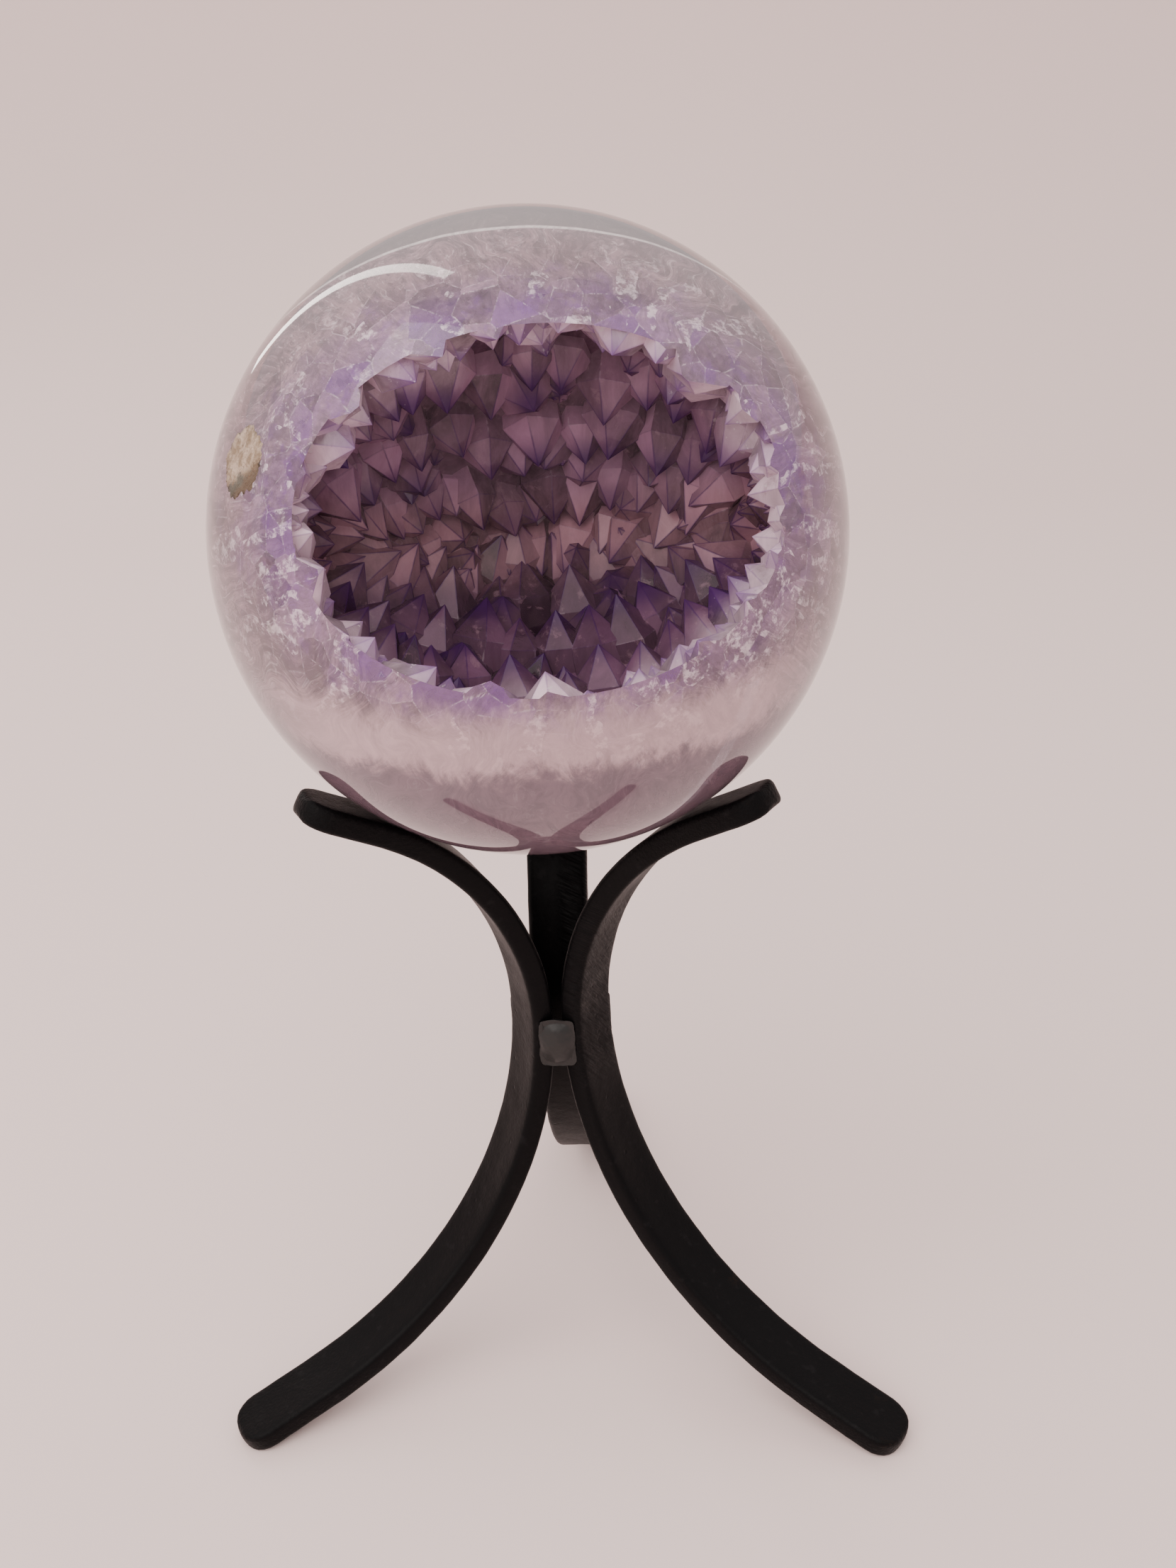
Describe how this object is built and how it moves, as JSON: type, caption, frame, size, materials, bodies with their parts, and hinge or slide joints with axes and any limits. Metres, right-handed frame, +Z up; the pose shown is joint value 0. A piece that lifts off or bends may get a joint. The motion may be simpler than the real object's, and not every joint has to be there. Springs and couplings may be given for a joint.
{
  "type": "amethyst geode ball on a bent iron stand",
  "caption": "Polished amethyst ball with a crystal-lined hollow open at the front, resting on a black three-legged stand of bent flat bars.",
  "frame": {"origin": "bottom centre of the bounding box, on the floor the three feet stand on", "axes": "+Z up, the ball's hollow opens towards -Y, +X to its right as seen from the front"},
  "size_m": [0.141, 0.1366, 0.2391],
  "materials": {
    "quartz": "polished, clear to milky",
    "amethyst": "natural crystal faces, see-through purple",
    "calcite": "rough, crusted",
    "painted_iron": "black paint over hot-rolled bar, slightly rough"
  },
  "bodies": {
    "root": {"quartz_ball": "quartz", "crystal_lining": "amethyst", "calcite_patch": "calcite", "leg_left": "painted_iron", "leg_right": "painted_iron", "leg_back": "painted_iron", "weld_front": "painted_iron", "weld_right": "painted_iron", "weld_left": "painted_iron"}
  },
  "joints": []
}
